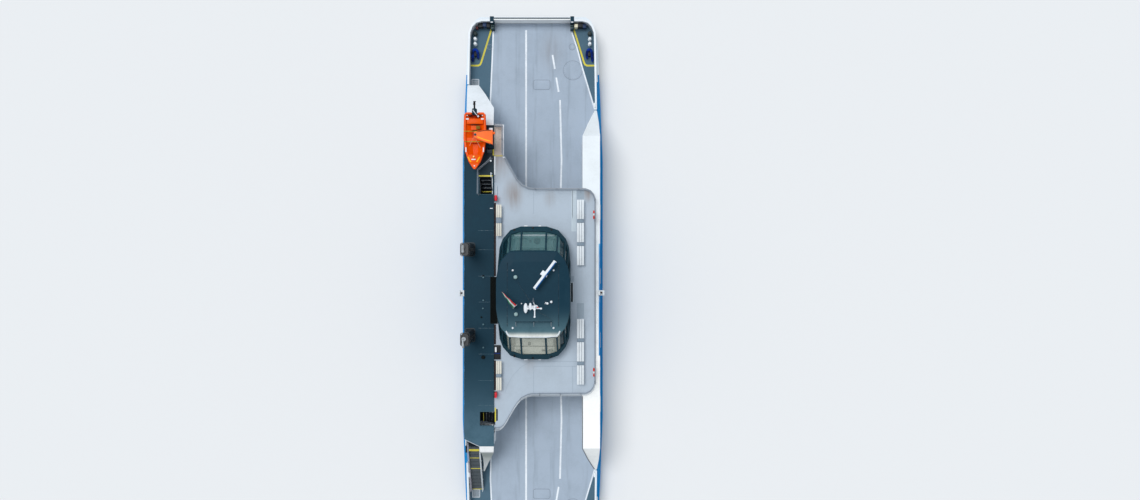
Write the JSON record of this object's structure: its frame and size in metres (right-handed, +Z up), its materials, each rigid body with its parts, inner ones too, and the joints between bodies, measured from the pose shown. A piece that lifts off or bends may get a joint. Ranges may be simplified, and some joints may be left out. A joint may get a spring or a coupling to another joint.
{
  "type": "double-ended car and passenger ferry, half-scale model",
  "caption": "Half-scale model of a double-ended car and passenger ferry: open car deck, side deckhouse, bridging sun deck with a central wheelhouse, hinged end ramps and steering thrusters.",
  "frame": {"origin": "centreline, amidships, on the waterline, the mount named water", "axes": "+X to starboard, +Y towards the bow, +Z up"},
  "size_m": [6.06, 23.58, 6.605],
  "materials": {
    "hull_paint": "satin, blue topsides, dark bottom paint",
    "car_deck_paint": "matt anti-slip, lavender grey with white lane lines",
    "belt_paint": "satin, blue along the sides and white at the ends",
    "ship_white": "satin white",
    "slate_paint": "satin dark slate",
    "ramp_paint": "worn pale grey",
    "mooring_paint": "worn white",
    "tinted_glass": "clear, grey-green tint",
    "door_paint": "satin slate",
    "upper_deck_paint": "matt grey, stained",
    "platform_paint": "dirty beige",
    "rail_paint": "gloss white",
    "rail_steel": "brushed",
    "helm_panels": "matt pale panels, dark seat",
    "antenna_white": "gloss white",
    "funnel_black": "satin black, sooty at the top",
    "bench_cream": "satin cream",
    "bench_white": "satin white slats",
    "rescue_orange": "satin orange laminate",
    "motor_black": "satin black",
    "davit_orange": "gloss orange",
    "stair_paint": "dark treads with yellow nosings",
    "thruster_paint": "matt bottom paint",
    "propeller_bronze": "dull bronze"
  },
  "bodies": {
    "ship": {"hull": "hull_paint", "car_deck": "car_deck_paint", "belt_port": "belt_paint", "belt_starboard": "belt_paint", "bulwark_bow_port": "ship_white", "bulwark_bow_starboard": "ship_white", "bulwark_stern_port": "ship_white", "bulwark_stern_starboard": "ship_white", "ramp_frame_bow": "slate_paint", "ramp_frame_stern": "slate_paint", "mooring_bow_port": "mooring_paint", "mooring_bow_starboard": "mooring_paint", "mooring_stern_port": "mooring_paint", "mooring_stern_starboard": "mooring_paint", "house_casing": "ship_white", "lounge_walls": "ship_white", "lounge_glass": "tinted_glass", "house_roof": "slate_paint", "boat_deck": "slate_paint", "fairing_bow": "ship_white", "fairing_stern": "ship_white", "starboard_casing": "ship_white", "upper_deck": "upper_deck_paint", "boarding_platform": "platform_paint", "rail_starboard": "rail_paint", "rail_bow": "rail_paint", "rail_stern": "rail_paint", "rail_bow_well": "rail_steel", "wheelhouse_walls": "slate_paint", "wheelhouse_glass": "tinted_glass", "wheelhouse_roof": "slate_paint", "helm_bow": "helm_panels", "helm_stern": "helm_panels", "radar_pedestal": "antenna_white", "signal_mast": "antenna_white", "funnel_bow": "funnel_black", "funnel_stern": "funnel_black", "benches_port_bow": "bench_cream", "benches_port_stern": "bench_cream", "benches_starboard_bow": "bench_white", "benches_starboard_stern": "bench_white", "boat_cradle": "slate_paint", "davit_base": "slate_paint", "rescue_boat": "rescue_orange", "outboard_motor": "motor_black", "outside_stair": "stair_paint", "stair_bow_well": "stair_paint", "stair_stern_well": "stair_paint"},
    "bow_ramp": {"ramp_bow": "ramp_paint"},
    "stern_ramp": {"ramp_stern": "ramp_paint"},
    "radar": {"radar_scanner": "antenna_white"},
    "davit": {"davit_arm": "davit_orange"},
    "lounge_door": {"lounge_door": "door_paint"},
    "casing_door": {"casing_door": "door_paint"},
    "wheelhouse_door": {"wheelhouse_door": "door_paint"},
    "bow_thruster": {"thruster_bow": "thruster_paint"},
    "bow_propeller": {"propeller_bow": "propeller_bronze"},
    "stern_thruster": {"thruster_stern": "thruster_paint"},
    "stern_propeller": {"propeller_stern": "propeller_bronze"}
  },
  "joints": [
    {"name": "bow_ramp_hinge", "type": "hinge", "parent": "ship", "child": "bow_ramp", "pos_m": [0, 11.5, 0.7], "axis": [-1, 0, 0], "range_deg": [0, 100]},
    {"name": "stern_ramp_hinge", "type": "hinge", "parent": "ship", "child": "stern_ramp", "pos_m": [0, -11.5, 0.7], "axis": [1, 0, 0], "range_deg": [0, 100]},
    {"name": "radar_spin", "type": "hinge", "parent": "ship", "child": "radar", "pos_m": [0.65, 0.77, 4.9], "axis": [0, 0, 1], "continuous": true},
    {"name": "davit_slew", "type": "hinge", "parent": "ship", "child": "davit", "pos_m": [-1.61, 6.1, 3.6], "axis": [0, 0, 1], "range_deg": [-110, 110]},
    {"name": "lounge_door_hinge", "type": "hinge", "parent": "ship", "child": "lounge_door", "pos_m": [-2.155, -5.895, 2.35], "axis": [0, 0, 1], "range_deg": [0, 95]},
    {"name": "casing_door_hinge", "type": "hinge", "parent": "ship", "child": "casing_door", "pos_m": [-1.795, 4.005, 1.2], "axis": [0, 0, -1], "range_deg": [0, 100]},
    {"name": "wheelhouse_door_hinge", "type": "hinge", "parent": "ship", "child": "wheelhouse_door", "pos_m": [1.655, -0.095, 3.45], "axis": [0, 0, -1], "range_deg": [0, 100]},
    {"name": "bow_thruster_steer", "type": "hinge", "parent": "ship", "child": "bow_thruster", "pos_m": [0, 9.6, -0.585], "axis": [0, 0, 1], "continuous": true},
    {"name": "bow_propeller_spin", "type": "hinge", "parent": "bow_thruster", "child": "bow_propeller", "pos_m": [0, 9.835, -0.585], "axis": [0, 1, 0], "continuous": true},
    {"name": "stern_thruster_steer", "type": "hinge", "parent": "ship", "child": "stern_thruster", "pos_m": [0, -9.6, -0.585], "axis": [0, 0, 1], "continuous": true},
    {"name": "stern_propeller_spin", "type": "hinge", "parent": "stern_thruster", "child": "stern_propeller", "pos_m": [0, -9.835, -0.585], "axis": [0, -1, 0], "continuous": true}
  ]
}
